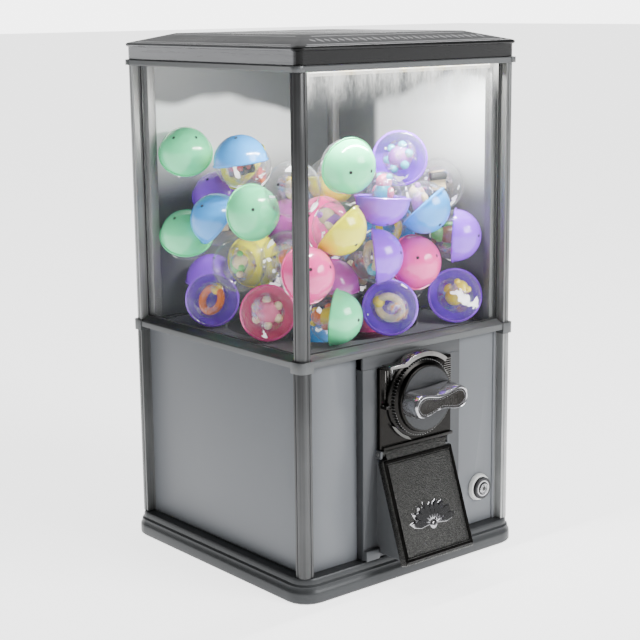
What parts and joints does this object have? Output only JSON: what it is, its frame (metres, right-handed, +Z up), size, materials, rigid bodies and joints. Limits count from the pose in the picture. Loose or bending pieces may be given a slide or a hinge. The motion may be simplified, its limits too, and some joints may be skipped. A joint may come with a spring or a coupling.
{
  "type": "capsule vending machine",
  "caption": "Countertop vending machine: square glazed hopper on a panelled cabinet, twist handle geared to a capsule wheel, pick-up flap, locked cash door and lift-off lid.",
  "frame": {"origin": "centre of the base's underside", "axes": "+Z up, the front with the handle, flap and cash door faces -Y, +X is to the right seen from the front"},
  "size_m": [0.338, 0.3801, 0.609],
  "materials": {
    "frame_grey": "satin grey",
    "base_grey": "satin grey",
    "panel_grey": "satin light grey",
    "housing_grey": "satin grey",
    "lid_metal": "dark brushed",
    "dark_chrome": "dark plated casting",
    "chrome": "polished",
    "pewter": "hammered dark metallic",
    "steel": "plain",
    "brass": "plain",
    "black_plastic": "matt",
    "grey_plastic": "matt",
    "white_plastic": "gloss",
    "glass": "clear",
    "led": "lit diffuser",
    "mint": "gloss",
    "lavender": "gloss",
    "pink": "gloss",
    "sky": "gloss"
  },
  "bodies": {
    "frame": {"base_pan": "base_grey", "lower_post_front_left": "frame_grey", "lower_post_front_right": "frame_grey", "lower_post_back_left": "frame_grey", "lower_post_back_right": "frame_grey", "upper_post_front_left": "frame_grey", "upper_post_front_right": "frame_grey", "upper_post_back_left": "frame_grey", "upper_post_back_right": "frame_grey", "mid_frame": "frame_grey", "top_frame": "frame_grey", "led_strip": "led", "left_panel": "panel_grey", "right_panel": "panel_grey", "back_panel": "panel_grey", "front_left_panel": "panel_grey", "front_pane": "glass", "back_pane": "glass", "left_pane": "glass", "right_pane": "glass", "door_rod": "steel", "cash_box": "steel", "coin_chute": "steel", "housing": "housing_grey", "header_plate": "housing_grey", "capsule_chute": "grey_plastic", "flap_rod": "steel", "mech_plate": "dark_chrome", "mech_cover": "dark_chrome", "coin_hood": "chrome", "gear_bracket": "steel", "hopper_pan": "grey_plastic", "wheel_spindle": "steel", "wheel_cap": "black_plastic", "drop_guard": "black_plastic", "loose_capsule_front_left": "mint", "loose_capsule_front_middle": "lavender", "loose_capsule_front_right": "lavender", "loose_capsule_left_front": "pink", "loose_capsule_left_back": "lavender", "loose_capsule_back_right": "sky"},
    "lid": {"lid": "lid_metal"},
    "wheel": {"capsule_wheel": "black_plastic", "crown_gear": "white_plastic", "wheel_capsule_1": "lavender", "wheel_capsule_2": "mint", "wheel_capsule_3": "sky", "wheel_capsule_4": "pink"},
    "handle": {"handle": "chrome", "handle_shaft": "steel", "pinion": "brass", "coin_carrier": "brass"},
    "flap": {"flap": "pewter"},
    "cash_door": {"cash_door": "panel_grey", "lock_bezel": "white_plastic", "lock_body": "black_plastic", "lock_nut": "steel"},
    "lock": {"lock_barrel": "chrome", "lock_cam": "steel"}
  },
  "joints": [
    {"name": "lid_lift", "type": "slide", "parent": "frame", "child": "lid", "axis": [0, 0, 1], "range_m": [0, 0.15]},
    {"name": "wheel_turn", "type": "hinge", "parent": "frame", "child": "wheel", "pos_m": [0, 0, 0.2525], "axis": [0, 0, 1], "continuous": true},
    {"name": "handle_turn", "type": "hinge", "parent": "frame", "child": "handle", "pos_m": [0, -0.16, 0.2095], "axis": [0, 1, 0], "continuous": true},
    {"name": "flap_hinge", "type": "hinge", "parent": "frame", "child": "flap", "pos_m": [-0.0035, -0.1645, 0.1505], "axis": [-1, 0, 0], "range_deg": [0, 55]},
    {"name": "cash_door_hinge", "type": "hinge", "parent": "frame", "child": "cash_door", "pos_m": [0.1414, -0.1498, 0.145], "axis": [0, 0, 1], "range_deg": [0, 80]},
    {"name": "lock_turn", "type": "hinge", "parent": "cash_door", "child": "lock", "pos_m": [0.117, -0.15, 0.0727], "axis": [0, -1, 0], "range_deg": [0, 90]}
  ],
  "couplings": [
    {"joint": "handle_turn", "follows": "wheel_turn", "ratio": 4}
  ]
}
